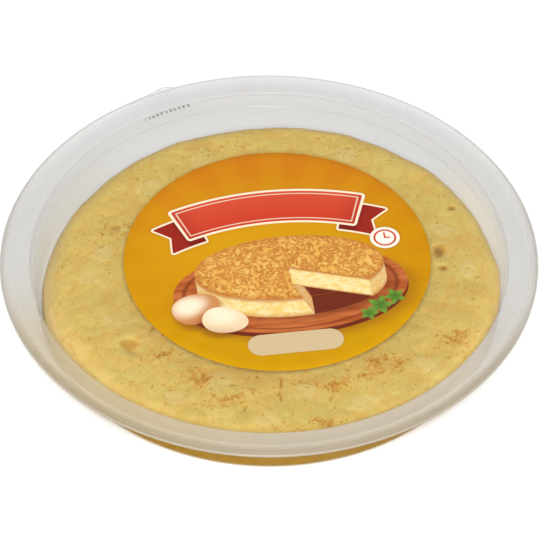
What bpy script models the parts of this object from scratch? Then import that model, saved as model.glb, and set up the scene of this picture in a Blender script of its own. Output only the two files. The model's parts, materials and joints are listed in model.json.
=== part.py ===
"""A round potato omelette sealed in a shallow plastic tray, under a film lid with a round label.

Units are metres and +Z is up. The origin is the middle of the tray's base, on the surface it stands on.
The pieces are built from the bottom up: tray, omelette, film lid, label.
"""
import math

import bpy
from mathutils import Vector, noise

# Tray: a thin turned shell. These sizes are of its upper, inner face.
TRAY_HEIGHT = 0.0276
TRAY_WALL = 0.0006
RIM_RADIUS = 0.1078
LIP_DROP = 0.0015
LIP_WIDTH = 0.0020
LIP_ROUNDING = 0.0016
FLANGE_INNER_RADIUS = 0.0958
FLANGE_ROUNDING = 0.0013
STEP_FOOT_RADIUS = 0.0948
STEP_DEPTH = 0.0062
LEDGE_WIDTH = 0.0006
LEDGE_DROP = 0.0005
STEP_ROUNDING = 0.0003
WALL_DRAFT = math.radians(6.5)
BASE_ROUNDING = 0.0060
TRAY_STEPS = 72

# Omelette: a low round cake with soft edges that nearly touches the tray's wall
OMELETTE_RADIUS = 0.0916
OMELETTE_LEAN = 0.0007
OMELETTE_TOP = 0.0168
OMELETTE_DOME = 0.0012
EDGE_ROUNDING = 0.0085
WALL_CLEARANCE = 0.0006
BASE_CLEARANCE = 0.0004
OMELETTE_SUBDIVISIONS = 6
OMELETTE_TRIANGLE_SHARE = 0.30

# How the starting sphere's faces are shared between the omelette's top, its edge and its underside
TOP_SHARE = 0.78
EDGE_SHARE = 0.12
BOTTOM_SHARE = 1 - TOP_SHARE - EDGE_SHARE

# Relief of the omelette: slow waves in the egg, potato lumps under the skin, and an uneven outline
WAVE_LENGTH = 0.034
WAVE_HEIGHT = 0.0009
LUMP_LENGTH = 0.011
LUMP_HEIGHT = 0.00055
LUMP_NOISE_HEIGHT = 0.05
OUTLINE_WAVE_LENGTH = 0.022
OUTLINE_WAVE_HEIGHT = 0.0007

# Pits where steam left the egg or a piece of potato has sunk: place, half length, half width, depth, turn
PITS = (
    {"x": -0.0556, "y": -0.0404, "length": 0.0034, "width": 0.0024, "depth": 0.0016, "turn": -0.5},
    {"x": 0.0677, "y": 0.0118, "length": 0.0022, "width": 0.0019, "depth": 0.0009, "turn": 0.3},
    {"x": 0.0678, "y": 0.0033, "length": 0.0018, "width": 0.0010, "depth": 0.0006, "turn": 0.0},
    {"x": 0.0747, "y": 0.0378, "length": 0.0017, "width": 0.0012, "depth": 0.0007, "turn": 0.8},
    {"x": -0.0462, "y": -0.0321, "length": 0.0015, "width": 0.0012, "depth": 0.0006, "turn": 0.0},
    {"x": -0.0091, "y": -0.0745, "length": 0.0030, "width": 0.0008, "depth": 0.0006, "turn": 0.2},
    {"x": 0.0049, "y": -0.0650, "length": 0.0050, "width": 0.0007, "depth": 0.0005, "turn": 1.57},
)

# Film lid: a thin sheet sealed on the flange, with one pull tab past the rim
GAP = 0.0003
FILM_RADIUS = 0.1050
FILM_THICKNESS = 0.00025
FILM_STEPS = 96
TAB_START = math.radians(110.6)
TAB_TIP = math.radians(113.2)
TAB_END = math.radians(126.0)
TAB_RADIUS = 0.1096
TAB_ROUNDING = 0.0026

# Label: a thin disc stuck on the film, a little off its middle
LABEL_RADIUS = 0.0615
LABEL_CENTRE = (0.0033, -0.0024)
LABEL_THICKNESS = 0.00025
LABEL_STEPS = 72

MATERIALS = {
    "tray": {"color": (0.80, 0.80, 0.78), "roughness": 0.35, "alpha": 0.45},
    "omelette": {"color": (0.70, 0.47, 0.12), "roughness": 0.60, "alpha": 1.0},
    "lid_film": {"color": (0.90, 0.90, 0.89), "roughness": 0.10, "alpha": 0.12},
    "label": {"color": (0.74, 0.36, 0.03), "roughness": 0.40, "alpha": 1.0},
}


def clear_scene():
    for obj in list(bpy.data.objects):
        bpy.data.objects.remove(obj, do_unlink=True)


def add_material(obj, name):
    """Gives the object a Principled material from the table above."""
    values = MATERIALS[name]
    material = bpy.data.materials.new(name)
    material.use_nodes = True
    shader = material.node_tree.nodes["Principled BSDF"]
    shader.inputs["Base Color"].default_value = (*values["color"], 1)
    shader.inputs["Roughness"].default_value = values["roughness"]
    shader.inputs["Metallic"].default_value = 0
    shader.inputs["Alpha"].default_value = values["alpha"]
    obj.data.materials.append(material)


def rounded_path(corners):
    """A path of 2D points through the corners, each given as (x, y, rounding radius, arc steps)."""
    points = [Vector(corners[0][:2])]
    for before, (x, y, radius, steps), after in zip(corners, corners[1:], corners[2:]):
        corner = Vector((x, y))
        into = (corner - Vector(before[:2])).normalized()
        out = (Vector(after[:2]) - corner).normalized()
        turn = into.angle_signed(out)
        tangent_length = radius * math.tan(abs(turn) / 2)
        arc_start = corner - into * tangent_length
        towards_centre = Vector((-into.y, into.x)) * math.copysign(radius, -turn)
        centre = arc_start + towards_centre
        for step in range(steps + 1):
            angle = -turn * step / steps
            spoke = -towards_centre
            cos, sin = math.cos(angle), math.sin(angle)
            points.append(centre + Vector((spoke.x * cos - spoke.y * sin, spoke.x * sin + spoke.y * cos)))
    points.append(Vector(corners[-1][:2]))
    return points


def wall_radius(z):
    """Inner radius of the tray's main wall at height z, which the base rounding then cuts off."""
    wall_top = TRAY_HEIGHT - STEP_DEPTH
    return STEP_FOOT_RADIUS - LEDGE_WIDTH - math.tan(WALL_DRAFT) * (wall_top - z)


def make_tray(parts):
    """The tray's upper face as one turned profile, from the lip to the middle, thickened downwards."""
    wall_top = TRAY_HEIGHT - STEP_DEPTH
    corners = (
        (RIM_RADIUS, TRAY_HEIGHT - LIP_DROP),
        (RIM_RADIUS - LIP_WIDTH, TRAY_HEIGHT, LIP_ROUNDING, 3),
        (FLANGE_INNER_RADIUS, TRAY_HEIGHT, FLANGE_ROUNDING, 2),
        (STEP_FOOT_RADIUS, wall_top, STEP_ROUNDING, 1),
        (wall_radius(wall_top), wall_top - LEDGE_DROP, STEP_ROUNDING, 1),
        (wall_radius(TRAY_WALL), TRAY_WALL, BASE_ROUNDING, 4),
        (0, TRAY_WALL),
    )
    profile = rounded_path(corners)
    mesh = bpy.data.meshes.new("tray")
    edges = [(i, i + 1) for i in range(len(profile) - 1)]
    mesh.from_pydata([(p.x, 0, p.y) for p in profile], edges, [])
    tray = bpy.data.objects.new("tray", mesh)
    parts.objects.link(tray)

    screw = tray.modifiers.new("turn", "SCREW")
    screw.axis = "Z"
    screw.angle = math.tau
    screw.steps = screw.render_steps = TRAY_STEPS
    screw.use_merge_vertices = True
    screw.merge_threshold = 0.00001
    screw.use_smooth_shade = True
    screw.use_normal_flip = True

    shell = tray.modifiers.new("wall", "SOLIDIFY")
    shell.thickness = TRAY_WALL
    shell.offset = -1
    shell.use_even_offset = True
    add_material(tray, "tray")


def edge_path():
    """The omelette's side in (radius, height): over its soft edge, down beside the wall, to the base."""
    low = TRAY_WALL + BASE_CLEARANCE
    corners = (
        (OMELETTE_RADIUS - EDGE_ROUNDING, OMELETTE_TOP),
        (OMELETTE_RADIUS, OMELETTE_TOP, EDGE_ROUNDING, 10),
        (wall_radius(low) - WALL_CLEARANCE, low, BASE_ROUNDING, 6),
        (wall_radius(low) - WALL_CLEARANCE - BASE_ROUNDING, low),
    )
    return rounded_path(corners)


def along(path, share):
    """The point at this share of a path's length."""
    lengths = [(b - a).length for a, b in zip(path, path[1:])]
    left = share * sum(lengths)
    for start, end, length in zip(path, path[1:], lengths):
        if left <= length:
            return start.lerp(end, left / length)
        left -= length
    return path[-1]


def top_relief(x, y):
    """How far the omelette's skin stands above its mean height at this place."""
    wave = noise.noise(Vector((x, y, 0)) / WAVE_LENGTH) * WAVE_HEIGHT
    lump = noise.noise(Vector((x, y, LUMP_NOISE_HEIGHT)) / LUMP_LENGTH) * LUMP_HEIGHT
    height = wave + lump
    for pit in PITS:
        dx, dy = x - pit["x"], y - pit["y"]
        cos, sin = math.cos(pit["turn"]), math.sin(pit["turn"])
        across = (dx * cos + dy * sin) / pit["length"]
        beside = (dy * cos - dx * sin) / pit["width"]
        height -= pit["depth"] * math.exp(-(across**2 + beside**2) ** 1.5)
    return height


def omelette_point(direction, path):
    """Where a point of the unit sphere goes on the omelette."""
    share = (1 - direction.z) / 2
    azimuth = math.atan2(direction.y, direction.x)
    flat_radius = path[0].x
    if share < TOP_SHARE:
        radius = flat_radius * math.sqrt(share / TOP_SHARE)
        height = OMELETTE_TOP
    elif share < TOP_SHARE + EDGE_SHARE:
        radius, height = along(path, (share - TOP_SHARE) / EDGE_SHARE)
    else:
        radius = path[-1].x * math.sqrt(max(0, 1 - share) / BOTTOM_SHARE)
        height = path[-1].y
    # The lean, waves and uneven outline fade out towards the underside, which copies the tray.
    fade = min(1, max(0, (height - path[-1].y) / (OMELETTE_TOP - path[-1].y)))
    around = Vector((math.cos(azimuth), math.sin(azimuth), 0)) * OMELETTE_RADIUS / OUTLINE_WAVE_LENGTH
    inward = OUTLINE_WAVE_HEIGHT * (0.5 + 0.5 * noise.noise(around)) * fade
    radius *= 1 - inward / OMELETTE_RADIUS
    x, y = radius * math.cos(azimuth) + OMELETTE_LEAN * fade, radius * math.sin(azimuth)
    dome = OMELETTE_DOME * max(0, 1 - (radius / flat_radius) ** 2)
    return Vector((x, y, height + (dome + top_relief(x, y)) * fade**2))


def make_omelette(parts):
    """A sphere whose points are laid on the omelette's form, then thinned where the form is plain."""
    bpy.ops.mesh.primitive_ico_sphere_add(subdivisions=OMELETTE_SUBDIVISIONS, radius=1)
    omelette = bpy.context.object
    omelette.name = omelette.data.name = "omelette"
    for collection in list(omelette.users_collection):
        collection.objects.unlink(omelette)
    parts.objects.link(omelette)
    path = edge_path()
    for vertex in omelette.data.vertices:
        vertex.co = omelette_point(vertex.co.normalized(), path)
    omelette.data.shade_smooth()

    thin = omelette.modifiers.new("thin", "DECIMATE")
    thin.ratio = OMELETTE_TRIANGLE_SHARE
    add_material(omelette, "omelette")


def flat_piece(name, outline, bottom, thickness, parts):
    """A flat outline with a thickness, its lower face at this height."""
    curve = bpy.data.curves.new(name, "CURVE")
    curve.dimensions = "2D"
    curve.fill_mode = "BOTH"
    curve.extrude = thickness / 2
    spline = curve.splines.new("POLY")
    spline.points.add(len(outline) - 1)
    for point, place in zip(spline.points, outline):
        point.co = (place[0], place[1], 0, 1)
    spline.use_cyclic_u = True
    piece = bpy.data.objects.new(name, curve)
    piece.location.z = bottom + thickness / 2
    parts.objects.link(piece)
    add_material(piece, name)


def on_circle(radius, azimuth):
    return Vector((radius * math.cos(azimuth), radius * math.sin(azimuth)))


def make_lid_film(parts):
    """The film's round outline, with the pull tab's long slanted side and rounded tip."""
    tab = rounded_path((
        (*on_circle(FILM_RADIUS, TAB_START),),
        (*on_circle(TAB_RADIUS, TAB_TIP), TAB_ROUNDING, 6),
        (*on_circle(FILM_RADIUS, TAB_END),),
    ))
    sweep = math.tau - (TAB_END - TAB_START)
    rim = [on_circle(FILM_RADIUS, TAB_END + sweep * i / FILM_STEPS) for i in range(1, FILM_STEPS)]
    flat_piece("lid_film", tab + rim, TRAY_HEIGHT + GAP, FILM_THICKNESS, parts)


def make_label(parts):
    centre = Vector(LABEL_CENTRE)
    outline = [centre + on_circle(LABEL_RADIUS, math.tau * i / LABEL_STEPS) for i in range(LABEL_STEPS)]
    bottom = TRAY_HEIGHT + GAP + FILM_THICKNESS + GAP
    flat_piece("label", outline, bottom, LABEL_THICKNESS, parts)


clear_scene()
omelette_pack = bpy.data.collections.new("omelette_pack")
bpy.context.scene.collection.children.link(omelette_pack)
make_tray(omelette_pack)
make_omelette(omelette_pack)
make_lid_film(omelette_pack)
make_label(omelette_pack)
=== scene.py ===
import json
import math

import bmesh
import bpy
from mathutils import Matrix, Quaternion, Vector, noise

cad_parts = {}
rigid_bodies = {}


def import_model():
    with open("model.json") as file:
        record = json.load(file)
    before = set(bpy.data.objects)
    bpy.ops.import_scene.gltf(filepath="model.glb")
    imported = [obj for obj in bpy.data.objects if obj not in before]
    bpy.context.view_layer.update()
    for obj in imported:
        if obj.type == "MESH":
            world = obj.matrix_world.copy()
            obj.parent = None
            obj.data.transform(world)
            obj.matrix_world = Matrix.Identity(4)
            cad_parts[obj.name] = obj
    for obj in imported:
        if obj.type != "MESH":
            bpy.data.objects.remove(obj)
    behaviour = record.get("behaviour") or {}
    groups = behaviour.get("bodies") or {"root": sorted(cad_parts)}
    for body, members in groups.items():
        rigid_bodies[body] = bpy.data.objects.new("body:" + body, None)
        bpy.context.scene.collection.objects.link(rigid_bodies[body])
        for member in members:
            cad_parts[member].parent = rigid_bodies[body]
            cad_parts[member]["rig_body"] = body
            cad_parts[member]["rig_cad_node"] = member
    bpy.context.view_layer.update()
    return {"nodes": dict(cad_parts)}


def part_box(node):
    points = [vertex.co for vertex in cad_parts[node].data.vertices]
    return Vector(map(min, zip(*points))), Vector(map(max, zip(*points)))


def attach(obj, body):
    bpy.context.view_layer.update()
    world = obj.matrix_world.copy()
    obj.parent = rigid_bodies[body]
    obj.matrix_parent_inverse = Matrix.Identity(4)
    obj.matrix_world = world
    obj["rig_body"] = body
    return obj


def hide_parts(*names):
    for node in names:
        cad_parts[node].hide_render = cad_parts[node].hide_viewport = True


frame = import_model()
print("frame loaded")

_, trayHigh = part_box("tray")
labelLow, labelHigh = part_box("label")
omeletteLow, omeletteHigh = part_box("omelette")
mm = 0.001


# An sRGB hex code as the linear colour that a socket takes
def hexColor(code):
    parts = [int(code[i:i + 2], 16) / 255 for i in (0, 2, 4)]
    return tuple(c / 12.92 if c <= 0.04045 else ((c + 0.055) / 1.055) ** 2.4 for c in parts) + (1.0,)


# 0 at the first value and 1 at the second, with an even rise between them
def rise(value, start, end):
    return min(1, max(0, (value - start) / (end - start)))


# A wrapped socket: sums on it add Math nodes
class Wire:
    def __init__(self, shade, socket):
        self.shade = shade
        self.socket = socket

    def calc(self, operation, *others, clamp=False):
        settings = {"operation": operation, "use_clamp": clamp}
        return self.shade.node("Math", settings, dict(enumerate((self,) + others)))

    def __add__(self, other):
        return self.calc("ADD", other)

    def __sub__(self, other):
        return self.calc("SUBTRACT", other)

    def __rsub__(self, other):
        return self.calc("MULTIPLY_ADD", -1, other)

    def __mul__(self, other):
        return self.calc("MULTIPLY", other)

    def __truediv__(self, other):
        return self.calc("DIVIDE", other)

    def __pow__(self, other):
        return self.calc("POWER", other)

    def __abs__(self):
        return self.calc("ABSOLUTE")

    def __neg__(self):
        return self.calc("MULTIPLY", -1)

    __radd__ = __add__
    __rmul__ = __mul__

    def clamped(self):
        return self.calc("ADD", 0, clamp=True)

    def atLeast(self, other):
        return self.calc("MAXIMUM", other)

    def atMost(self, other):
        return self.calc("MINIMUM", other)

    # 0 at the first value and 1 at the second, eased at both ends
    def ease(self, start, end):
        settings = {"interpolation_type": "SMOOTHSTEP"}
        return self.shade.node("MapRange", settings, {"Value": self, "From Min": start, "From Max": end})


# One material, and the one method that adds its nodes
class Shade:
    def __init__(self, name):
        self.material = bpy.data.materials.new(name)
        self.material.use_nodes = True
        self.tree = self.material.node_tree
        self.tree.nodes.clear()

    def node(self, kind, settings, sockets, out=0):
        made = self.tree.nodes.new("ShaderNode" + kind)
        for key, value in settings.items():
            setattr(made, key, value)
        for key, value in sockets.items():
            socket = self.find(made.inputs, key)
            if isinstance(value, Wire):
                self.tree.links.new(value.socket, socket)
            else:
                socket.default_value = value
        return Wire(self, self.find(made.outputs, out)) if made.outputs else None

    # A socket by its place, identifier or name
    def find(self, sockets, key):
        if isinstance(key, int):
            return sockets[key]
        return next((s for s in sockets if s.identifier == key), None) or sockets[key]

    # Object coordinates in millimetres from a middle
    def place(self, x=0, y=0, z=0):
        coords = self.node("TexCoord", {}, {}, "Object")
        sockets = {"Vector": coords, "Location": (-x, -y, -z), "Scale": (1 / mm, 1 / mm, 1 / mm)}
        return self.node("Mapping", {"vector_type": "POINT"}, sockets)

    def split(self, vector):
        first = self.node("SeparateXYZ", {}, {"Vector": vector})
        return [Wire(self, socket) for socket in first.socket.node.outputs]

    def join(self, x, y, z):
        return self.node("CombineXYZ", {}, {"X": x, "Y": y, "Z": z})

    def mix(self, factor, colorA, colorB, blend="MIX"):
        settings = {"data_type": "RGBA", "blend_type": blend}
        sockets = {"Factor_Float": factor, "A_Color": colorA, "B_Color": colorB}
        return self.node("Mix", settings, sockets, "Result_Color")

    # A colour with another over it, where the mask's value passes from start to full
    def cover(self, color, over, mask, start, full, share):
        return self.mix(mask.ease(start, full) * share, color, over)

    # Noise between 0 and 1 whose blobs are about as wide as size, in millimetres
    def noise(self, vector, size, seed=0.0, detail=2.0, distortion=0.0, rough=0.5):
        settings = {"noise_dimensions": "4D"}
        sockets = {"Vector": vector, "Scale": 1 / size, "Detail": detail, "Distortion": distortion,
                   "Roughness": rough, "W": seed}
        return self.node("TexNoise", settings, sockets)

    def attribute(self, name):
        return self.node("Attribute", {"attribute_name": name}, {}, "Fac")

    def bump(self, height, strength, distance):
        return self.node("Bump", {}, {"Height": height, "Strength": strength, "Distance": distance})

    # Share of light that a clear face mirrors, the same from either side
    def mirrored(self, **sockets):
        facing = self.node("LayerWeight", {}, {"Blend": 0.5, **sockets}, "Facing")
        straightOn = 0.04
        return facing ** 5 * (1 - straightOn) + straightOn

    def clear(self, tint):
        return self.node("BsdfTransparent", {}, {"Color": tint})

    def blend(self, factor, first, second):
        return self.node("MixShader", {}, {"Fac": factor, 1: first, 2: second})

    def surface(self, shader):
        self.node("OutputMaterial", {}, {"Surface": shader})
        return self.material


def selectOnly(piece):
    bpy.ops.object.select_all(action="DESELECT")
    piece.select_set(True)
    bpy.context.view_layer.objects.active = piece


# In edit mode: selects the edges whose two ends both pass the test
def selectEdges(piece, test):
    bpy.ops.mesh.select_all(action="DESELECT")
    mesh = bmesh.from_edit_mesh(piece.data)
    for edge in mesh.edges:
        if all(test(vertex.co) for vertex in edge.verts):
            edge.select_set(True)
    bmesh.update_edit_mesh(piece.data)


def startPiece(name):
    piece = bpy.context.object
    piece.name = piece.data.name = name
    selectOnly(piece)
    bpy.ops.object.mode_set(mode="EDIT")
    return piece


# Applies place and modifiers, shades the piece, gives it its finish, body and slot, and hides the imported
# part it replaces
def finishPiece(piece, material, node, sharpAngle=40):
    if bpy.context.mode != "OBJECT":
        bpy.ops.object.mode_set(mode="OBJECT")
    selectOnly(piece)
    bpy.ops.object.transform_apply(location=True, rotation=True, scale=True)
    for modifier in list(piece.modifiers):
        bpy.ops.object.modifier_apply(modifier=modifier.name)
    bpy.ops.object.shade_smooth_by_angle(angle=math.radians(sharpAngle))
    piece.data.materials.clear()
    piece.data.materials.append(material)
    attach(piece, "root")
    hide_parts(node)
    print(piece.name, "made:", len(piece.data.polygons), "faces")


# Tray: a thin shell, turned ring by ring from its rim to the middle of its base
trayPlan = {
    "sides": 256,
    "wall": 0.0004,
    "draft": math.radians(6.5),
    "wallTop": (0.0136, 0.0067),  # distance in from the rim, depth below the flange
    "rings": [  # the same two sizes, then the corner's rounding and its segments
        (0.0000, 0.0013, 0.0000, 0),
        (0.0019, 0.0000, 0.0016, 6),
        (0.0120, 0.0000, 0.0010, 5),
        (0.0130, 0.0062, 0.0003, 2),
        (0.0136, 0.0067, 0.0003, 2),
    ],
    "baseRounding": (0.0075, 10),
    "baseInsets": (0.010, 0.022, 0.022),
    # From here on in millimetres; two together are where a look starts and is full
    "color": "F0EEEB",
    # Next: painted shade on the moulded lines, plain and on the warm side, then their painted highlight
    "shadePaint": "7E7A70",
    "warmShadePaint": "80704E",
    "highlightPaint": "F8F3EA",
    # Painted warm light from the omelette, seen through the flange
    "warmGlowColor": "E4D0A8",  # on the side where y is least
    "warmPlaces": (-15.0, -70.0),
    "coolPlaces": (45.0, 90.0),  # in x, where the warm side is less warm
    "coolShare": 0.35,
    # Painted yellow glow of the omelette through the flange
    "yellowGlowColor": "E4C35E",  # at the front left
    "yellowPlaces": ((20.0, -70.0), (0.0, -50.0)),  # in x and in y
    "flangeRadii": (94.6, 96.0),
    "backPlaces": (10.0, 90.0),
    "haze": 0.19,  # share that each face hides: flange, free wall, and wall that the omelette touches
    "warmHaze": 0.16,  # added on the warm side of the flange
    "wallHaze": 0.07,
    "wetHaze": 0.01,
    "wetHeights": (6.0, 10.0),
    "cloudSize": 34,
    "cloudShare": 0.3,
    "frostSize": 0.5,
    "frostShare": 0.03,
    "frostBump": (0.15, 0.03 * mm),  # strength, depth
    "gloss": 0.3,
    "ior": 1.49,
    "roughness": 0.32,
    "letThrough": 0.5,  # share of the haze that glows with light from behind
    "tint": (0.915, 0.915, 0.914, 1),
    # Tints that change with place are painted light and shade: clearer at the back, clearer and warmer at the
    # right, darker at the left, warmer low on the wall in the front half
    "backTint": (0.95, 0.95, 0.955, 1),
    "wallTint": (0.915, 0.915, 0.91, 1),
    "warmTint": (0.92, 0.89, 0.81, 1),
    "warmWallPlaces": (75.0, 15.0),
    "warmWallHeights": (26.0, 15.0),
    "leftTint": (0.89, 0.887, 0.867, 1),
    "leftPlaces": (-50.0, -85.0),
    "leftShare": 0.6,
    "rightTint": (0.955, 0.934, 0.885, 1),
    "rightPlaces": (70.0, 90.0),
    # Painted shade where the plastic bends
    "shadeLines": [  # radius, height, half width, strength
        (95.4, 27.0, 0.8, 1.0),
        (94.4, 21.2, 0.8, 0.7),
        (107.4, 26.5, 1.2, 0.9),
    ],
    # Painted shade on the lip, like the lines above
    "rimShades": [(105.8, 27.0, 2.6, 1.0)],  # dark too, most on the warm side and not at the back
    "rimSide": 0.65,  # strength at the left and right
    # Painted highlights along the crests
    "crestHighlights": [
        (95.3, 26.9, 0.9, 0.8),
        (102.7, 27.0, 0.8, 1.0),
        (107.4, 26.7, 0.4, 0.5),
    ],
    "lineCore": 0.1,
    "lineColorShare": 0.9,
    # Shares of haze for the painted shade, on the warm side too, and for the painted highlights
    "shadeShare": 0.26,
    "warmShadeShare": 0.14,
    "highlightShare": 0.2,
}


def trayPlastic():
    shade = Shade("trayPlastic")
    looks = trayPlan
    place = shade.place()
    x, y, z = shade.split(place)
    radius = (x * x + y * y) ** 0.5
    cloud = shade.noise(place, looks["cloudSize"], seed=3.1)
    frost = shade.noise(place, looks["frostSize"], seed=1.7, detail=1)
    free = z.ease(*looks["wetHeights"])
    flange = radius.ease(*looks["flangeRadii"])
    warm = y.ease(*looks["warmPlaces"])
    back = y.ease(*looks["backPlaces"])
    haze = free * (looks["wallHaze"] - looks["wetHaze"]) + looks["wetHaze"]
    haze = haze + flange * (warm * looks["warmHaze"] + (looks["haze"] - looks["wallHaze"]))
    haze = haze * (cloud * looks["cloudShare"] + (1 - looks["cloudShare"] / 2))
    haze = haze + (frost - 0.5) * looks["frostShare"]

    # Moulded edges drawn as thin lines: painted shade where the plastic bends, painted highlights along its
    # crests
    masks = []
    for lines in (looks["shadeLines"], looks["rimShades"], looks["crestHighlights"]):
        mask = 0
        for lineRadius, lineHeight, halfWidth, strength in lines:
            away = ((radius - lineRadius) ** 2 + (z - lineHeight) ** 2) ** 0.5
            mask = away.ease(halfWidth, looks["lineCore"]) * strength + mask
        masks.append(mask)
    dark, rim, light = masks
    dark = dark + rim * (warm * (1 - looks["rimSide"]) + looks["rimSide"] - back * looks["rimSide"])
    light = light * warm

    # Painted warm light from the omelette: warm at the front, less so at the right, yellow at the front left
    cool = x.ease(*looks["coolPlaces"]) * looks["coolShare"]
    color = shade.mix(warm * (1 - cool), hexColor(looks["color"]), hexColor(looks["warmGlowColor"]))
    yellowX, yellowY = looks["yellowPlaces"]
    color = shade.mix(x.ease(*yellowX) * y.ease(*yellowY), color, hexColor(looks["yellowGlowColor"]))
    # The lines' painted shade and painted highlights mixed into the colour
    shadePaint = shade.mix(warm, hexColor(looks["shadePaint"]), hexColor(looks["warmShadePaint"]))
    color = shade.mix(dark * looks["lineColorShare"], color, shadePaint)
    color = shade.mix(light * looks["lineColorShare"], color, hexColor(looks["highlightPaint"]))
    share = haze + dark * (warm * looks["warmShadeShare"] + looks["shadeShare"]) + light * looks["highlightShare"]
    share = (share + shade.mirrored() * looks["gloss"]).clamped()
    grain = shade.bump(frost, *looks["frostBump"])
    frosted = shade.node("BsdfPrincipled", {}, {"Base Color": color, "Roughness": looks["roughness"],
                                                "IOR": looks["ior"], "Normal": grain})
    glow = shade.node("BsdfTranslucent", {}, {"Color": hexColor(looks["color"])})
    milky = shade.blend(looks["letThrough"], frosted, glow)

    # Clear parts tinted by place: painted light at the back and right, painted shade at the left, painted
    # warm light low on the front walls
    clearFlange = shade.blend(back, shade.clear(looks["tint"]), shade.clear(looks["backTint"]))
    warmWall = y.ease(*looks["warmWallPlaces"]) * z.ease(*looks["warmWallHeights"])
    clearWall = shade.blend(warmWall, shade.clear(looks["wallTint"]), shade.clear(looks["warmTint"]))
    left = x.ease(*looks["leftPlaces"]) * looks["leftShare"]
    clearWall = shade.blend(left, clearWall, shade.clear(looks["leftTint"]))
    clearWall = shade.blend(x.ease(*looks["rightPlaces"]), clearWall, shade.clear(looks["rightTint"]))
    clear = shade.blend(flange, clearWall, clearFlange)
    return shade.surface(shade.blend(share, clear, milky))


def makeTrayShell():
    wallIn, wallDown = trayPlan["wallTop"]
    footHeight = trayPlan["wall"]
    footIn = wallIn + math.tan(trayPlan["draft"]) * (trayHigh.z - wallDown - footHeight)
    foot = (footIn, trayHigh.z - footHeight, *trayPlan["baseRounding"])
    rings = []
    for inward, down, rounding, steps in trayPlan["rings"] + [foot]:
        rings.append((trayHigh.x - inward, trayHigh.z - down, rounding, steps))
    startRadius, startHeight = rings[0][:2]
    bpy.ops.object.select_all(action="DESELECT")
    bpy.ops.mesh.primitive_circle_add(vertices=trayPlan["sides"], radius=startRadius,
                                      location=(0, 0, startHeight))
    shell = startPiece("trayShell")
    bpy.ops.mesh.select_all(action="SELECT")
    for (radius, height, *_), (nextRadius, nextHeight, *_) in zip(rings, rings[1:]):
        bpy.ops.mesh.extrude_edges_move(TRANSFORM_OT_translate={"value": (0, 0, nextHeight - height)})
        bpy.ops.transform.resize(value=(nextRadius / radius, nextRadius / radius, 1))
    bpy.ops.mesh.edge_face_add()
    for width in trayPlan["baseInsets"]:
        bpy.ops.mesh.inset(thickness=width)
    bpy.ops.mesh.poke()
    near = 1e-5
    afterRings = rings[2:] + [(0, footHeight)]
    for before, (radius, height, rounding, steps), after in zip(rings, rings[1:], afterRings):
        into = Vector((radius - before[0], height - before[1]))
        out = Vector((after[0] - radius, after[1] - height))
        width = rounding * math.tan(into.angle(out) / 2)
        level = height - startHeight
        selectEdges(shell, lambda co: abs(co.z - level) < near and abs(co.xy.length - radius) < near)
        bpy.ops.mesh.bevel(offset_type="OFFSET", offset=width, segments=steps, affect="EDGES")
    bpy.ops.object.mode_set(mode="OBJECT")
    middle = min(shell.data.polygons, key=lambda face: face.center.length)
    if middle.normal.z < 0:
        bpy.ops.object.mode_set(mode="EDIT")
        bpy.ops.mesh.select_all(action="SELECT")
        bpy.ops.mesh.flip_normals()
    wall = shell.modifiers.new("wall", "SOLIDIFY")
    wall.thickness = trayPlan["wall"]
    wall.offset = -1
    wall.use_even_offset = True
    finishPiece(shell, trayPlastic(), "tray")


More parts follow.
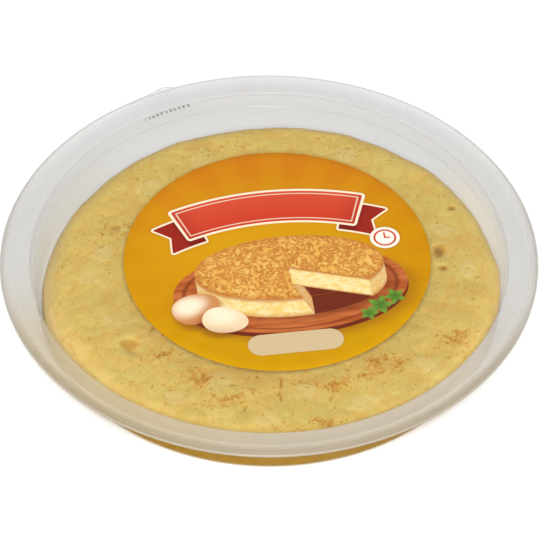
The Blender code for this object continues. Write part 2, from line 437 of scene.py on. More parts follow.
# Omelette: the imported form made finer, then given potato lumps, egg skin, pits and cracks
omelettePlan = {
    "voxel": 0.0009,
    "smoothing": 8,
    "weld": 0.00001,
    "seed": 1,
    # From here on in millimetres
    "radius": 91.0,
    "lean": 1.9,  # how far the top is shifted towards x
    "spread": 0.7,  # how far the top's edge is moved out
    "ragged": 1.3,  # how far it strays in and out
    "raggedSize": 16.0,
    "raggedSeed": 1.7,
    "topHeights": (5.0, 13.0),  # where the top's detail starts and is full
    "footHeights": (9.0, 4.0),  # where the side starts to follow the tray, and follows it
    "contactGap": 0.12,
    "lumpSize": 9.0,
    "lumpHeight": 0.19,
    "lumpDepth": 0.7,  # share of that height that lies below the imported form
    "seamWidth": 0.45,
    "wanderSize": 4.0,
    "wander": 0.9,
    "skinSize": 2.6,
    "skinHeight": 0.08,
    "skinSeed": 5,
    "sliceHeight": 0.12,
    # A pit's darkness grows with its depth: painted shade in the hollow over its own browner colour
    "darkPit": 0.7,  # depth from which a pit is as dark as it gets
    "pits": [  # x, y, half length, half width, turn in degrees, depth
        (-55.7, -38.6, 4.3, 3, -15, 0.5),
        (-50.3, -37.5, 2.9, 0.9, 8, 0.3),
        (68.4, 14.2, 2.3, 3.5, -10, 0.7),
        (69.6, 4.9, 2.3, 1.2, -12, 0.7),
        (74.6, 39.8, 2.3, 2.1, -10, 0.65),
        (-46.8, -30.4, 1.2, 1.7, -20, 0.5),
        (-84.1, -13.9, 1, 1.7, 0, 0.4),
        (-9.2, -73.2, 0.8, 2, -15, 0.6),
        (-61.8, 27, 2.6, 2.2, 20, 0.4),
        (5.2, -59, 0.7, 4, 3, 0.62),
        (4.8, -66.5, 0.7, 3.2, -4, 0.62),
    ],
    "slices": [  # pale slices of potato under the skin: x, y, half length, half width, turn
        (-59.5, -26, 6.5, 4.5, 15),
        (61.9, -48.5, 6, 4, -30),
        (15, -64, 5.5, 4.5, 10),
        (-20, -60, 6, 5, 30),
        (-67, 12, 6, 4, 60),
        (-72, -2, 5, 4, 20),
        (60, -2, 5, 7, 10),
        (70, 27, 5, 3.5, 0),
        (-28, 66, 6, 4, 20),
        (30, 70, 7, 4, -20),
        (38, -70, 7, 4, 25),
        (-50, 50, 6, 4.5, 45),
        (0, -80, 6, 3, 0),
        (80, 4, 3.5, 5.5, 0),
        (-36, -68, 5, 3.5, -20),
    ],
    "toasted": [  # browner zones: x, y, half length, half width, turn, strength
        (-29, -57, 9, 6, -20, 0.8),
        (-16, -69, 14, 5, 5, 0.8),
        (-42, -45, 7, 4, 12, 0.7),
        (28, -60, 7, 5, 20, 0.8),
        (44, -51, 12, 7, 20, 0.8),
        (24, -81, 8, 4, 20, 0.7),
        (10, -82.5, 12, 3, 8, 0.6),
        (74, -36, 10, 9, 40, 0.6),
        (78, -12, 8, 14, 0, 0.35),
        (72, 8, 6, 10, 0, 0.35),
        (-82, -33, 5, 9, 25, 0.5),
        (-80, 4, 6, 12, 0, 0.3),
        (-64, 24, 12, 14, 20, 0.45),
        (-52, 52, 16, 10, 40, 0.35),
        (-20, 74, 20, 9, 15, 0.4),
        (30, 76, 24, 9, -15, 0.4),
        (66, 48, 12, 10, -45, 0.2),
    ],
    "marks": [  # small dark browned spots and streaks, as above
        (-42.2, -45, 3.2, 1.3, 15, 0.9),
        (-50.9, -47.1, 2.6, 0.8, 0, 0.6),
        (-33.4, -47.1, 2.6, 1.3, 20, 0.7),
        (-26.1, -58, 3.4, 2.6, 0, 0.8),
        (-18.6, -57.5, 1.1, 1.5, 0, 0.8),
        (-16.2, -68.8, 2.8, 1, 8, 1),
        (-12.4, -67, 2.6, 1, 25, 0.7),
        (-4.8, -57.5, 1, 1.4, 0, 0.9),
        (-7.6, -57, 1, 1, 0, 0.8),
        (-5.9, -64.5, 3.4, 0.8, -25, 0.8),
        (15.5, -59.1, 4, 2.2, -10, 0.6),
        (17.7, -78.5, 3.2, 1.3, 30, 0.8),
        (41.8, -47.7, 3, 1.4, 10, 1),
        (46.2, -45.5, 0.9, 2.2, -20, 1),
        (52.5, -48.2, 1.7, 1.1, 10, 1),
        (50.3, -50.6, 1.7, 0.7, 40, 0.9),
        (55.7, -46.1, 1, 1, 0, 0.8),
        (36.9, -55.9, 3, 2, 30, 0.8),
        (26.1, -60.8, 4.4, 2.6, 10, 0.8),
        (24.9, -66.7, 0.9, 2.4, 0, 0.6),
        (23.2, -80.7, 3.2, 2.3, 10, 0.8),
        (48.7, -61.8, 1.7, 1.3, 0, 0.5),
        (58.4, -53.2, 1.3, 0.8, 0, 0.5),
        (-45.5, -60.8, 1.1, 1.7, 0, 0.6),
        (-39.9, -63.5, 1.5, 1.1, 0, 0.5),
        (-62.3, 1.3, 1.9, 0.8, 0, 0.8),
        (-68.4, 1.3, 1.6, 0.7, 0, 0.5),
        (-57.6, 28.5, 1.4, 0.8, -10, 0.9),
        (-79.6, 19.5, 1.8, 2.5, 0, 0.5),
        (67, 30.4, 2.1, 2.1, 0, 0.5),
        (74.5, -34, 5, 3.5, 30, 0.6),
        (84.4, 10.9, 1.6, 0.9, 0, 0.4),
        (67, -33, 1.4, 0.8, 0, 0.5),
    ],
    # Three together are where a mask starts and is full, and the most it covers
    "colors": {
        "yellow": "C7AE57",
        "lightYellow": "C9B25C",
        "olive": "BCA850",
        "slice": "CCB66E",
        "orange": "C99E46",
        "toast": "BB8613",
        "darkToast": "A36C08",
        "pit": "AC7E1C",
        "deepPit": "7C5C18",
        # Painted light on the rim and its corner, then painted shade on the rim at the front
        "edge": "DDBC76",
        "corner": "E0BE80",
        "frontRimShade": "BC9440",
        # The side: browned skin, darker still as painted shade under the flange
        "side": "A8841A",
        "sideFleck": "967214",
    },
    "patches": [  # colour, size, seed, detail, distortion, roughness, then the three
        ("lightYellow", 14, 1.3, 2, 0.0, 0.5, 0.42, 0.60, 1.0),
        ("olive", 9, 3.9, 3, 0.0, 0.5, 0.50, 0.64, 0.6),
        ("orange", 7, 4.2, 4, 0.5, 0.6, 0.50, 0.62, 0.5),
    ],
    "slice": (0.2, 0.7, 0.7),
    "curdSize": 5,
    "curdEdges": (0.07, 0.01, 0.4),
    "strands": (0.022, 0.004, 0.3),
    "strandLevel": 0.47,
    "paleGrain": (0.52, 0.66, 0.24),
    "darkGrain": (0.48, 0.36, 0.24),
    "toastShare": 0.2,
    "browned": (0.60, 0.67, 0.65),
    "brownedBy": 0.16,  # how much a toasted zone or a mark adds to the noise that browns
    "darkest": (0.60, 0.68, 0.8),
    "darkestBy": (0.05, 0.16),  # the same for a zone and for a mark
    "specks": (0.76, 0.81, 0.7),
    "seam": (0.6, 1.0, 0.2),
    "pit": (0.25, 0.6, 0.8),
    "deepPit": (0.95, 1.2, 0.8),
    "frontPlaces": (-55, -80),
    "rimRadii": (81, 92),
    "rimShare": 0.35,
    "frontRimShare": 0.35,  # added at the front
    "corner": (89.0, 91.5, 0.4),
    "sideHeights": (9.0, 5.5),
    "frontDrop": 4,  # how much lower the side's colour starts at the front
    "sideFlecks": (0.35, 0.7, 0.6),
    "skinBump": (0.2, 0.22 * mm),  # strength, depth
    "dryness": (0.42, 0.2),  # least roughness, and what is added where the skin is dry
}


# How deep a place lies in an oval: 1 in its middle, fading to 0 past its edge
def ovalFade(x, y, middleX, middleY, halfLength, halfWidth, turn):
    x -= middleX
    y -= middleY
    if abs(x) + abs(y) > 3 * max(halfLength, halfWidth):  # too far out to count
        return 0
    cos, sin = math.cos(math.radians(turn)), math.sin(math.radians(turn))
    share = math.hypot((x * cos + y * sin) / halfLength, (y * cos - x * sin) / halfWidth)
    return math.exp(-share ** 3)


detailLayers = ("pit", "slice", "toast", "mark", "seam")


# Height in millimetres added to the top at a place, and how much it is each of the kinds named above
def topDetail(x, y):
    form = omelettePlan
    spot = Vector((x, y, 0))
    wander = noise.noise_vector(spot / form["wanderSize"]) * form["wander"]
    distances, _ = noise.voronoi((spot + wander) / form["lumpSize"])
    seam = min(1, (distances[1] - distances[0]) / form["seamWidth"])
    height = form["lumpHeight"] * (seam * seam * (3 - 2 * seam) - form["lumpDepth"])
    height += form["skinHeight"] * noise.noise(spot / form["skinSize"] + Vector((0, 0, form["skinSeed"])))
    x += wander.x
    y += wander.y
    pit = 0
    for *oval, depth in form["pits"]:
        fade = ovalFade(x, y, *oval)
        height -= depth * fade
        pit = max(pit, fade * min(1, depth / form["darkPit"]))
    potato = max(ovalFade(x, y, *oval) for oval in form["slices"])
    height += form["sliceHeight"] * potato
    toasted = max(strength * ovalFade(x, y, *oval) for *oval, strength in form["toasted"])
    marked = max(strength * ovalFade(x, y, *oval) for *oval, strength in form["marks"])
    return height, pit, potato, toasted, marked, 1 - seam


def omeletteCrust():
    shade = Shade("omeletteCrust")
    looks = omelettePlan
    colors = {name: hexColor(code) for name, code in looks["colors"].items()}
    place = shade.place()
    x, y, z = shade.split(place)
    color = colors["yellow"]
    for name, size, seed, detail, distortion, rough, *covering in looks["patches"]:
        patch = shade.noise(place, size, seed, detail, distortion, rough)
        color = shade.cover(color, colors[name], patch, *covering)
    color = shade.cover(color, colors["slice"], shade.attribute("slice"), *looks["slice"])

    # Curds of egg, their edges drawn here and there, and thin browned strands
    drift = shade.node("TexNoise", {}, {"Vector": place, "Scale": 0.3, "Detail": 2.0}, "Color")
    size = looks["curdSize"]
    drifted = shade.node("VectorMath", {"operation": "MULTIPLY_ADD"}, {0: drift, 1: (size,) * 3, 2: place})
    curds = shade.node("TexVoronoi", {"feature": "DISTANCE_TO_EDGE"}, {"Vector": drifted, "Scale": 1 / size})
    patchy = shade.noise(place, 12, seed=8.8).ease(0.42, 0.58)
    start, full, share = looks["curdEdges"]
    color = shade.cover(color, colors["orange"], curds, start, full, patchy * share)
    fine = shade.noise(place, 2.4, seed=2.4, detail=3, distortion=0.9, rough=0.6)
    start, full, share = looks["strands"]
    strand = abs(fine - looks["strandLevel"])
    color = shade.cover(color, colors["orange"], strand, start, full, patchy * share)
    grain = shade.noise(place, 1.4, seed=6.1, detail=2, rough=0.6)
    color = shade.cover(color, colors["slice"], grain, *looks["paleGrain"])
    color = shade.cover(color, colors["orange"], grain, *looks["darkGrain"])

    toast = shade.attribute("toast")
    mark = shade.attribute("mark")
    speckle = shade.noise(place, 1.3, seed=5.5, detail=3, rough=0.65)
    color = shade.mix(toast * looks["toastShare"], color, colors["orange"])
    browned = fine * 0.6 + speckle * 0.4 + (toast + mark) * looks["brownedBy"]
    color = shade.cover(color, colors["toast"], browned, *looks["browned"])
    zoneShare, markShare = looks["darkestBy"]
    darkest = speckle + toast * zoneShare + mark * markShare
    color = shade.cover(color, colors["darkToast"], darkest, *looks["darkest"])
    specks = speckle + shade.noise(place, 16, seed=8.1) * 0.25
    color = shade.cover(color, colors["toast"], specks, *looks["specks"])
    color = shade.cover(color, colors["toast"], shade.attribute("seam"), *looks["seam"])
    # Pits: their own browner colour, darker with depth as painted shade in the hollow
    pit = shade.attribute("pit")
    color = shade.cover(color, colors["pit"], pit, *looks["pit"])
    color = shade.cover(color, colors["deepPit"], pit + fine * 0.5, *looks["deepPit"])

    # The rim of the top, its corner and the side: painted light on the rim and corner where the edge turns
    # away, painted shade on the rim at the front
    front = y.ease(*looks["frontPlaces"])
    middleX = (omeletteLow.x + omeletteHigh.x) / mm / 2 + omelettePlan["lean"]
    radius = ((x - middleX) ** 2 + y * y) ** 0.5
    rim = radius.ease(*looks["rimRadii"]) * (front * looks["frontRimShare"] + looks["rimShare"])
    color = shade.mix(rim, color, shade.mix(front, colors["edge"], colors["frontRimShade"]))
    start, full, share = looks["corner"]
    color = shade.cover(color, colors["corner"], radius, start, full, (1 - front) * share)
    # The side's browned skin with painted shade from the flange
    flecks = shade.noise(place, 3.0, seed=9.1, detail=3)
    sideColor = shade.cover(colors["side"], colors["sideFleck"], flecks, *looks["sideFlecks"])
    color = shade.mix((z - front * looks["frontDrop"]).ease(*looks["sideHeights"]), color, sideColor)
    skin = shade.bump(grain * 0.6 + fine + speckle * 0.4, *looks["skinBump"])
    roughness, dryRoughness = looks["dryness"]
    moist = shade.noise(place, 6, seed=0.7).ease(0.3, 0.7) * dryRoughness + roughness
    crust = shade.node("BsdfPrincipled", {"subsurface_method": "RANDOM_WALK"},
                       {"Base Color": color, "Roughness": moist, "Normal": skin, "Subsurface Weight": 0.08,
                        "Subsurface Radius": (1.0, 0.6, 0.2), "Subsurface Scale": 1.0 * mm,
                        "Specular IOR Level": 0.2})
    return shade.surface(crust)


# Millimetres from a place inside the tray to its wall, its rounded corner or its base
def trayGap(place):
    radius, height = place.xy.length / mm, place.z / mm
    wallIn, wallDown = trayPlan["wallTop"]
    draft = trayPlan["draft"]
    wallRadius = (trayHigh.x - wallIn) / mm - math.tan(draft) * ((trayHigh.z - wallDown) / mm - height)
    base = trayPlan["wall"] / mm
    rounding = trayPlan["baseRounding"][0] / mm
    middleHeight = base + rounding
    middleRadius = wallRadius + math.tan(draft) * (middleHeight - height) - rounding / math.cos(draft)
    if radius > middleRadius and height < middleHeight:
        return rounding - math.hypot(radius - middleRadius, middleHeight - height)
    return min((wallRadius - radius) * math.cos(draft), height - base)


def makeOmeletteBody():
    form = omelettePlan
    body = frame["nodes"]["omelette"].copy()
    body.data = body.data.copy()
    body.name = body.data.name = "omeletteBody"
    del body["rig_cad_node"], body["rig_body"]
    body.parent = None
    bpy.context.scene.collection.objects.link(body)
    selectOnly(body)
    bpy.ops.object.mode_set(mode="EDIT")
    bpy.ops.mesh.select_all(action="SELECT")
    bpy.ops.mesh.remove_doubles(threshold=form["weld"])
    bpy.ops.object.mode_set(mode="OBJECT")
    finer = body.modifiers.new("finer", "SUBSURF")
    finer.levels = finer.render_levels = 1
    even = body.modifiers.new("even", "REMESH")
    even.mode = "VOXEL"
    even.voxel_size = form["voxel"]
    soften = body.modifiers.new("soften", "SMOOTH")
    soften.iterations = form["smoothing"]
    for modifier in list(body.modifiers):
        bpy.ops.object.modifier_apply(modifier=modifier.name)

    noise.seed_set(form["seed"])  # noise_vector follows the seed, which is else the time
    layers = {name: [] for name in detailLayers}
    normals = [vertex.normal.copy() for vertex in body.data.vertices]
    for vertex, normal in zip(body.data.vertices, normals):
        level = vertex.co.z / mm
        above = rise(level, *form["topHeights"]) ** 2
        risen = min(1, level / form["topHeights"][1])
        around = vertex.co.xy.normalized() * (form["radius"] / form["raggedSize"])
        ragged = noise.noise(Vector((around.x, around.y, form["raggedSeed"]))) * form["ragged"]
        vertex.co.xy *= 1 + (form["spread"] + ragged) / form["radius"] * risen
        vertex.co.x += form["lean"] * mm * risen
        height, *values = topDetail(vertex.co.x / mm, vertex.co.y / mm) if above else [0] * (1 + len(layers))
        gap = trayGap(vertex.co) - form["contactGap"]
        vertex.co += normal * (height * above + gap * rise(level, *form["footHeights"])) * mm
        gap = trayGap(vertex.co) - form["contactGap"]
        if gap < 0:
            vertex.co.xy *= 1 + gap * mm / vertex.co.xy.length
        for name, value in zip(layers, values):
            layers[name].append(value * above)
    for name, values in layers.items():
        body.data.attributes.new(name, "FLOAT", "POINT").data.foreach_set("value", values)
    finishPiece(body, omeletteCrust(), "omelette", sharpAngle=180)


# Lid film: a thin clear sheet sealed on the flange, rising a little to the label, with one pull tab
filmPlan = {
    "sides": 240,
    "thickness": 0.00012,
    "sealGap": 0.00002,
    "sealInner": 0.0960,
    "flatRadius": 0.0640,
    "edgeWidth": 0.0005,  # the hazy edge, which the pull tab stretches out
    "insets": (0.0035, 0.003, 0.003, 0.004, 0.005, 0.006, 0.007, 0.008, 0.012, 0.016, 0.016),
    "radius": 0.1050,
    "tab": [(111.3, 0.1048), (112.6, 0.1076), (114.0, 0.1088), (126.8, 0.1048)],  # azimuth in degrees, radius
    "tabSoftness": 0.0005,
    "tabDroop": 0.0003,
    # From here on in millimetres, angles in degrees
    "haze": 0.004,
    "sealHaze": 0.04,
    "tabHaze": 0.24,
    "edgeHaze": 0.05,
    "tabEdgeHaze": 0.5,
    "roughness": 0.08,
    "color": "E4E4E2",
    "edgeColor": "B4B4B0",
    "inkColor": "3E3C38",
    "sealStart": (96.2, 97.0),
    "sealEnd": (104.6, 104.0),
    "tabRadii": (105.0, 105.6),
    "gloss": 0.35,
    "tint": (0.985, 0.985, 0.985, 1),
    "ripples": (30, 7),  # sizes of the wide and the narrow ones
    "rippleBump": (0.3, 0.4 * mm),  # strength, depth
    "inkAngles": (110.5, 123.0),
    "inkFade": 0.1,
    "inkRadius": 94.1,
    "inkHalfWidth": (0.9, 0.6),
    "inkStep": 1.2,
    "inkDots": (0.27, 0.20),
    "inkUneven": 0.6,
    "inkStrength": 0.7,
}


def onCircle(radius, azimuth):
    return Vector((radius * math.cos(azimuth), radius * math.sin(azimuth)))


# How far out the film's edge is at an azimuth: the circle, or past it the tab's straight sides
def filmReach(azimuth):
    azimuth %= math.tau
    corners = [onCircle(radius, math.radians(degrees)) for degrees, radius in filmPlan["tab"]]
    first, last = filmPlan["tab"][0][0], filmPlan["tab"][-1][0]
    if not first < math.degrees(azimuth) < last:
        return filmPlan["radius"]
    softness = filmPlan["tabSoftness"]  # the tab's corners are rounded over this
    least = 1
    for start, end in zip(corners, corners[1:]):
        side = (end - start).normalized()
        across = Vector((side.y, -side.x))
        crossing = start.dot(across) / onCircle(1, azimuth).dot(across)
        blend = max(0, softness - abs(least - crossing)) ** 2 / (4 * softness)
        least = min(least, crossing) - blend
    return max(filmPlan["radius"], least)


def filmHeight(radius):
    seal = trayHigh.z + filmPlan["sealGap"]
    risen = labelLow.z - filmPlan["thickness"] - filmPlan["sealGap"]
    share = rise(radius, filmPlan["sealInner"], filmPlan["flatRadius"])
    droop = filmPlan["tabDroop"] * max(0, (radius - filmPlan["radius"]) / mm / 3) ** 2
    return seal + (risen - seal) * share * share * (3 - 2 * share) - droop


def filmClear():
    shade = Shade("filmClear")
    looks = filmPlan
    place = shade.place()
    x, y, _ = shade.split(place)
    radius = (x * x + y * y) ** 0.5
    azimuth = y.calc("ARCTAN2", x) * (180 / math.pi)
    start, end = looks["inkAngles"]
    row = azimuth.ease(start, start + looks["inkFade"]) * azimuth.ease(end, end - looks["inkFade"])
    row = row * abs(radius - looks["inkRadius"]).ease(*looks["inkHalfWidth"])
    uneven = shade.noise(place, 1.2, seed=4.4, detail=1) - 0.5
    dots = abs((azimuth / looks["inkStep"]).calc("FRACT") - 0.5) + uneven * looks["inkUneven"]
    ink = row * dots.ease(*looks["inkDots"]) * looks["inkStrength"]
    wide, narrow = looks["ripples"]
    ripple = shade.noise(place, wide, seed=2.2) + shade.noise(place, narrow, seed=1.2) * 0.1
    taut = shade.bump(ripple, *looks["rippleBump"])
    edge = shade.attribute("edge").ease(0.1, 0.9)
    tab = radius.ease(*looks["tabRadii"])
    seal = radius.ease(*looks["sealStart"]) * radius.ease(*looks["sealEnd"])
    haze = seal * (looks["sealHaze"] - looks["haze"]) + looks["haze"]
    haze = haze + tab * looks["tabHaze"] + edge * (tab * looks["tabEdgeHaze"] + looks["edgeHaze"])
    share = (haze + shade.mirrored(Normal=taut) * looks["gloss"]).atLeast(ink).clamped()
    color = shade.mix(edge * tab * 0.8, hexColor(looks["color"]), hexColor(looks["edgeColor"]))
    color = shade.mix(ink, color, hexColor(looks["inkColor"]))
    gloss = shade.node("BsdfPrincipled", {}, {"Base Color": color, "Roughness": looks["roughness"],
                                              "Normal": taut})
    return shade.surface(shade.blend(share, shade.clear(looks["tint"]), gloss))


def makeLidFilm():
    bpy.ops.object.select_all(action="DESELECT")
    bpy.ops.mesh.primitive_circle_add(vertices=filmPlan["sides"], radius=filmPlan["radius"], fill_type="NGON")
    film = startPiece("lidFilm")
    bpy.ops.mesh.select_all(action="SELECT")
    for width in (filmPlan["edgeWidth"], *filmPlan["insets"]):
        bpy.ops.mesh.inset(thickness=width)
    bpy.ops.mesh.poke()
    bpy.ops.object.mode_set(mode="OBJECT")
    edge = []
    for vertex in film.data.vertices:
        inward = filmPlan["radius"] - vertex.co.xy.length
        azimuth = math.atan2(vertex.co.y, vertex.co.x)
        if inward < filmPlan["edgeWidth"] * 1.5:
            vertex.co.xy = onCircle(filmReach(azimuth) - inward, azimuth)
        vertex.co.z = filmHeight(vertex.co.xy.length)
        edge.append(1 if inward < filmPlan["edgeWidth"] / 2 else 0)
    film.data.attributes.new("edge", "FLOAT", "POINT").data.foreach_set("value", edge)
    sheet = film.modifiers.new("sheet", "SOLIDIFY")
    sheet.thickness = filmPlan["thickness"]
    sheet.offset = 1
    finishPiece(film, filmClear(), "lid_film")


# Label: a thin printed disc stuck on the film
labelPlan = {
    "sides": 192,
    "edgeBevel": 0.00008,
    "insets": (0.004, 0.014, 0.020),
    # The print, in millimetres from the label's middle, turns in degrees
    "colors": {
        "paper": "F4F2EC",
        "groundTop": "C97A18",
        "groundMiddle": "C48406",
        "groundBottom": "C79508",
        "glow": "D5A014",
        "boardColor": "A9552A",
        "boardLight": "C97440",
        "boardDark": "6E2E1E",
        "sideColor": "EBCB7C",
        "sidePale": "F2DFA6",
        "topColor": "E3AF57",
        "topBrown": "B4642A",
        "ribbonColor": "C8402B",
        "ribbonLight": "E0644A",
        "ribbonDark": "97291F",
        "ribbonFold": "5E1712",
        "ribbonTrim": "F6E9D2",
        "eggLight": "FBEAD0",
        "leafColor": "6E9A3A",
        "leafDark": "47702B",
        "leafVein": "B9C86A",
        "panelColor": "CDB892",
        "badgeColor": "F4EFE6",
    },
    "turn": 8,
    "board": (3, -17, 47, 24),
    "omelette": (4, -5, 38, 17.5),
    "omeletteHeight": 10,
    "cutStart": -80,
    "cutEnd": -36,
    "cutShades": (0.45, 0.0),  # how much darker each face of the cut is
    "ribbonRadius": 108,
    "ribbonHeight": 30,
    "ribbonHalf": (37, 8.5),
    "eggs": [  # x, y, half length, half width, turn, colour
        (-35.5, -23.0, 10.0, 7.8, 25, "C98A58"),
        (-25.0, -31.0, 9.2, 7.0, -15, "EBD3AF"),
    ],
    "leaves": [  # x, y, size, turn
        (37.0, -30.5, 5.2, 0),
        (43.5, -26.5, 4.4, 40),
        (32.0, -34.5, 3.8, 70),
    ],
    "panel": (1, -46.5, 19, 5.6),
    "badge": (44.5, 6.5, 6.0),
}
inks = {name: hexColor(code) for name, code in labelPlan["colors"].items()}


# Signed distances to shapes in millimetres, negative inside
def ovalShape(u, v, halfLength, halfWidth):
    return (((u / halfLength) ** 2 + (v / halfWidth) ** 2) ** 0.5 - 1) * min(halfLength, halfWidth)


def boxShape(u, v, halfLength, halfWidth, rounding):
    outU = abs(u) - (halfLength - rounding)
    outV = abs(v) - (halfWidth - rounding)
    corner = (outU.atLeast(0) ** 2 + outV.atLeast(0) ** 2) ** 0.5
    return corner + outU.atLeast(outV).atMost(0) - rounding


def inside(distance, soft=0.15):
    return distance.ease(soft, -soft)


def turned(x, y, middleX, middleY, degrees):
    cos, sin = math.cos(math.radians(degrees)), math.sin(math.radians(degrees))
    u, v = x - middleX, y - middleY
    return u * cos + v * sin, v * cos - u * sin


def labelGround(shade, place, x, y):
    color = shade.mix(y.ease(-62, 8), inks["groundBottom"], inks["groundMiddle"])
    color = shade.mix(y.ease(0, 60), color, inks["groundTop"])
    glow = ovalShape(x + 6, y - 8, 46, 28).ease(24, -22)
    color = shade.mix(glow * 0.75, color, inks["glow"])
    angle = (y + 12).calc("ARCTAN2", x)
    rays = (angle * 22).calc("SINE").ease(-0.5, 0.5) * ovalShape(x, y + 12, 20, 20).ease(0, 40)
    color = shade.mix(rays * 0.16, color, inks["glow"])
    return shade.cover(color, inks["groundTop"], shade.noise(place, 22, seed=3.3), 0.4, 0.7, 0.12)


def labelBoard(shade, place, x, y, color):
    middleX, middleY, halfLength, halfWidth = labelPlan["board"]
    shadow = ovalShape(x - middleX - 2, y - middleY + 4, halfLength, halfWidth).ease(4, -3)
    color = shade.mix(shadow * 0.45, color, inks["boardDark"])
    rim = ovalShape(x - middleX, y - middleY + 2.2, halfLength, halfWidth)
    color = shade.mix(inside(rim), color, inks["boardDark"])
    top = ovalShape(x - middleX, y - middleY, halfLength, halfWidth)
    streaks = shade.noise(shade.join(x * 0.12, y, 0), 2.4, seed=1.1, detail=3).ease(0.35, 0.7)
    wood = shade.mix(streaks, inks["boardColor"], inks["boardLight"])
    wood = shade.mix(abs(top + 2.2).ease(0.7, 0.2) * 0.6, wood, inks["boardDark"])
    return shade.mix(inside(top), color, wood)


def labelOmelette(shade, place, x, y, color):
    art = labelPlan
    middleX, middleY, halfLength, halfWidth = art["omelette"]
    height = art["omeletteHeight"]
    u, v = x - middleX, y - middleY
    arc = (1 - (u / halfLength) ** 2).atLeast(0) ** 0.5 * halfWidth
    body = (abs(v + height / 2) - arc - height / 2).atLeast(abs(u) - halfLength)
    shadow = ovalShape(u - 2, v + height + 1, halfLength + 1, halfWidth + 1).ease(3, -3)
    color = shade.mix(shadow * 0.6, color, inks["boardDark"])

    mottle = shade.noise(place, 3.2, seed=6.6, detail=3, distortion=0.6)
    side = shade.mix(mottle.ease(0.42, 0.62), inks["sideColor"], inks["sidePale"])
    fall = (v + arc) / height  # 0 at the top edge of the side, -1 at its foot
    side = shade.mix(fall.ease(-0.28, 0.0) * 0.8, side, inks["topBrown"])
    side = shade.mix(fall.ease(-0.7, -1.05) * 0.55, side, inks["topBrown"])
    side = shade.mix(abs(u).ease(halfLength * 0.55, halfLength) * 0.35, side, inks["topBrown"])
    color = shade.mix(inside(body), color, side)

    crust = shade.noise(place, 4.5, seed=8.4, detail=4, distortion=1.5, rough=0.62)
    top = shade.cover(inks["topColor"], inks["topBrown"], abs(crust - 0.5), 0.09, 0.0, 0.8)
    top = shade.mix(crust.ease(0.5, 0.72) * 0.5, top, inks["sideColor"])
    rim = (abs(v) - arc).atLeast(abs(u) - halfLength)
    top = shade.mix(rim.ease(-3.0, 0.0) * 0.5, top, inks["topBrown"])
    color = shade.mix(inside(rim), color, top)

    # The cut: an open wedge with one face seen from the side and one nearly from the front
    ends = []
    for degrees in (art["cutStart"], art["cutEnd"]):
        ends.append((math.cos(math.radians(degrees)), math.sin(math.radians(degrees))))
    (startU, startV), (endU, endV) = ends
    unitU, unitV = u / halfLength, v / halfWidth
    wedge = (unitU * startV - unitV * startU).atLeast(unitV * endU - unitU * endV) * 14
    onTop = inside(wedge.atLeast(rim))
    below = (startU * halfLength - u).atLeast(u - endU * halfLength).atLeast(body).atLeast(v + arc)
    opened = onTop.atLeast(inside(below))
    color = shade.mix(opened, color, inks["boardDark"])
    layers = shade.noise(shade.join(x, y * 1.8, 3), 3.0, seed=4.9, detail=2).ease(0.40, 0.60)
    for (cutU, cutV), darkness in zip(ends, art["cutShades"]):
        slope = cutV * halfWidth / (cutU * halfLength)
        drop = v - u * slope  # 0 at the face's upper edge
        face = (-u).atLeast(u - cutU * halfLength).atLeast(drop).atLeast(-drop - height)
        cut = shade.mix(layers, inks["sideColor"], inks["sidePale"])
        cut = shade.mix(drop.ease(-1.8, -0.2) * 0.85, cut, inks["topBrown"])
        cut = shade.mix(drop.ease(-height + 1.2, -height) * 0.7, cut, inks["topBrown"])
        cut = shade.mix(darkness, cut, inks["boardColor"])
        color = shade.mix(inside(face), color, cut)
    return color


def labelEggs(shade, x, y, color):
    for middleX, middleY, halfLength, halfWidth, turn, code in labelPlan["eggs"]:
        u, v = turned(x, y, middleX, middleY, turn)
        v = v * (u * 0.016 + 1)  # one end is blunter
        shadow = ovalShape(u + 0.6, v + 2.4, halfLength, halfWidth).ease(2.0, -1.5)
        color = shade.mix(shadow * 0.5, color, inks["boardDark"])
        egg = ovalShape(u, v, halfLength, halfWidth)
        lit = ovalShape(u + 2, v - 2.4, halfLength * 0.62, halfWidth * 0.55).ease(3.2, -2.5)
        shell = shade.mix(lit, hexColor(code), inks["eggLight"])
        shell = shade.cover(shell, inks["boardColor"], v + halfWidth * 0.3, 0.0, -halfWidth, 0.45)
        color = shade.mix(inside(egg), color, shell)
    return color


def labelLeaves(shade, x, y, color):
    for middleX, middleY, size, turn in labelPlan["leaves"]:
        u, v = turned(x, y, middleX, middleY, turn)
        angle = v.calc("ARCTAN2", u)
        reach = (angle * 5).calc("COSINE") * (size * 0.2) + (angle * 15).calc("COSINE") * (size * 0.07)
        distance = (u * u + v * v) ** 0.5
        leaf = distance - reach - size * 0.75
        veins = abs((angle * 2.5).calc("SINE")).ease(0.16, 0.0) * distance.ease(size, 0)
        green = shade.cover(inks["leafDark"], inks["leafColor"], distance, 0, size, 1)
        green = shade.mix(veins * 0.7, green, inks["leafVein"])
        shadow = (leaf + 0.4).ease(1.4, -0.6)
        color = shade.mix(shadow * 0.3, color, inks["boardDark"])
        color = shade.mix(inside(leaf), color, green)
    return color


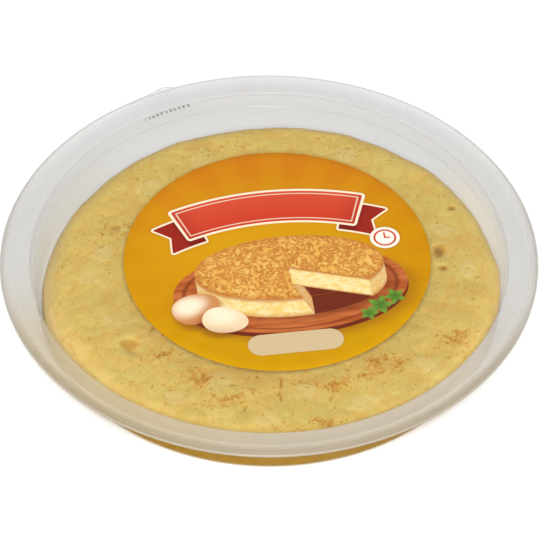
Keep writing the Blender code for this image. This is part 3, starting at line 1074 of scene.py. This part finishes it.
# A blank ribbon bent along an arc, with folded tails behind its ends
def labelRibbon(shade, x, y, color):
    art = labelPlan
    radius = art["ribbonRadius"]
    halfLength, halfWidth = art["ribbonHalf"]
    fromCentre = y - (art["ribbonHeight"] - radius)
    along = x.calc("ARCTAN2", fromCentre) * radius
    across = (x * x + fromCentre * fromCentre) ** 0.5 - radius
    tailV = across + 4.5
    tail = boxShape(abs(along) - halfLength - 2.0, tailV, 8.5, halfWidth * 0.92, 0.4)
    notch = abs(along) - (halfLength + 6.5) - abs(tailV) * 0.55
    tail = tail.atLeast(notch)
    band = boxShape(along, across, halfLength, halfWidth, 0.6)
    whole = tail.atMost(band)
    shadow = (whole + 0.3).ease(3.2, -0.5)
    color = shade.mix(shadow * 0.30, color, inks["boardDark"])
    color = shade.mix(inside(tail - 0.9), color, inks["ribbonTrim"])
    fold = (abs(along) - halfLength).ease(3.5, 0.0) * 0.6
    tailInk = shade.mix(fold, inks["ribbonDark"], inks["ribbonFold"])
    color = shade.mix(inside(tail), color, tailInk)
    color = shade.mix(inside(band - 1.1), color, inks["ribbonTrim"])
    upper = across.ease(-halfWidth, halfWidth) * 0.35
    ink = shade.mix(upper, inks["ribbonColor"], inks["ribbonLight"])
    ink = shade.mix(abs(along).ease(halfLength * 0.7, halfLength) * 0.35, ink, inks["ribbonDark"])
    ink = shade.mix(abs(band + 1.5).ease(0.36, 0.16) * 0.75, ink, inks["ribbonTrim"])
    return shade.mix(inside(band), color, ink)


def labelPanel(shade, x, y, color):
    middleX, middleY, halfLength, halfWidth = labelPlan["panel"]
    panel = boxShape(x - middleX, y - middleY, halfLength, halfWidth, halfWidth * 0.98)
    color = shade.mix((panel + 0.2).ease(1.2, -0.4) * 0.3, color, inks["boardDark"])
    color = shade.mix(inside(panel), color, inks["panelColor"])
    middleX, middleY, size = labelPlan["badge"]
    u, v = x - middleX, y - middleY
    distance = (u * u + v * v) ** 0.5
    color = shade.mix((distance - size).ease(1.4, -0.4) * 0.3, color, inks["boardDark"])
    color = shade.mix(inside(distance - size), color, inks["badgeColor"])
    color = shade.mix(inside(abs(distance - size * 0.70) - 0.42), color, inks["ribbonColor"])
    hands = boxShape(u, v - 1.3, 0.36, 1.7, 0.3).atMost(boxShape(u - 1.0, v, 1.3, 0.36, 0.3))
    return shade.mix(inside(hands), color, inks["ribbonColor"])


def labelPrint():
    shade = Shade("labelPrint")
    middle = (labelLow + labelHigh) / 2 / mm
    place = shade.place(middle.x, middle.y, middle.z)
    x, y, _ = shade.split(place)
    x, y = turned(x, y, 0, 0, labelPlan["turn"])
    color = labelGround(shade, place, x, y)
    color = labelBoard(shade, place, x, y, color)
    color = labelOmelette(shade, place, x, y, color)
    color = labelEggs(shade, x, y, color)
    color = labelLeaves(shade, x, y, color)
    color = labelRibbon(shade, x, y, color)
    color = labelPanel(shade, x, y, color)
    color = shade.mix(1, color, inks["paper"], "MULTIPLY")
    paper = shade.bump(shade.noise(place, 0.6, seed=1.9), 0.15, 0.02 * mm)
    printed = shade.node("BsdfPrincipled", {}, {"Base Color": color, "Roughness": 0.45, "Normal": paper,
                                                "Specular IOR Level": 0.08})
    return shade.surface(printed)


def makeLabelDisc():
    size = labelHigh - labelLow
    bpy.ops.object.select_all(action="DESELECT")
    bpy.ops.mesh.primitive_cylinder_add(vertices=labelPlan["sides"], radius=size.x / 2, depth=size.z,
                                        location=(labelLow + labelHigh) / 2)
    label = startPiece("labelDisc")
    level = size.z / 2 - 1e-6
    flat = 0.999
    selectEdges(label, lambda co: abs(co.z) > level)
    bpy.ops.mesh.bevel(offset=labelPlan["edgeBevel"], segments=2, affect="EDGES")
    for side in (1, -1):
        bpy.ops.mesh.select_all(action="DESELECT")
        mesh = bmesh.from_edit_mesh(label.data)
        for face in mesh.faces:
            face.select_set(face.normal.z * side > flat)
        bmesh.update_edit_mesh(label.data)
        for width in labelPlan["insets"]:
            bpy.ops.mesh.inset(thickness=width)
        bpy.ops.mesh.poke()
    finishPiece(label, labelPrint(), "label")


studio = {
    "floorSize": 6.0,
    "floorColor": "F7F7F7",
    "worldStrength": 0.38,
    "lampPlace": (0.0, -3.19, 3.37),
    "lampSize": 1.0,
    "lampPower": 275.0,
    "elevation": 45.25,
    "roll": 0.3,
    "distance": 2.0,
    "lens": 334,
    "lookAt": (0.0004, -0.0083, 0.0285),
}


def makeStudio():
    bpy.ops.object.select_all(action="DESELECT")
    bpy.ops.mesh.primitive_plane_add(size=studio["floorSize"])
    floor = bpy.context.object
    floor.name = floor.data.name = "studioFloor"
    shade = Shade("paleFloor")
    pale = shade.node("BsdfPrincipled", {}, {"Base Color": hexColor(studio["floorColor"]), "Roughness": 0.8,
                                             "Specular IOR Level": 0.1})
    floor.data.materials.append(shade.surface(pale))

    world = bpy.data.worlds.new("softWhite")
    world.use_nodes = True
    background = world.node_tree.nodes["Background"]
    background.inputs["Color"].default_value = (1, 1, 1, 1)
    background.inputs["Strength"].default_value = studio["worldStrength"]
    bpy.context.scene.world = world
    bpy.context.scene.view_settings.view_transform = "Standard"

    lampPlace = Vector(studio["lampPlace"])
    turn = (Vector((0, 0, 0)) - lampPlace).to_track_quat("-Z", "Y").to_euler()
    bpy.ops.object.light_add(type="AREA", location=lampPlace, rotation=turn)
    lamp = bpy.context.object
    lamp.name = "softLamp"
    lamp.data.size = studio["lampSize"]
    lamp.data.energy = studio["lampPower"]

    down = math.radians(studio["elevation"])
    away = Vector((0, -math.cos(down), math.sin(down))) * studio["distance"]
    place = Vector(studio["lookAt"]) + away
    turn = Quaternion((1, 0, 0), math.pi / 2 - down) @ Quaternion((0, 0, 1), math.radians(studio["roll"]))
    bpy.ops.object.camera_add(location=place, rotation=turn.to_euler())
    camera = bpy.context.object
    camera.name = "photoCamera"
    camera.data.lens = studio["lens"]
    camera.data.clip_end = 20
    bpy.context.scene.camera = camera
    print("studio ready")


makeStudio()
makeTrayShell()
makeOmeletteBody()
makeLidFilm()
makeLabelDisc()
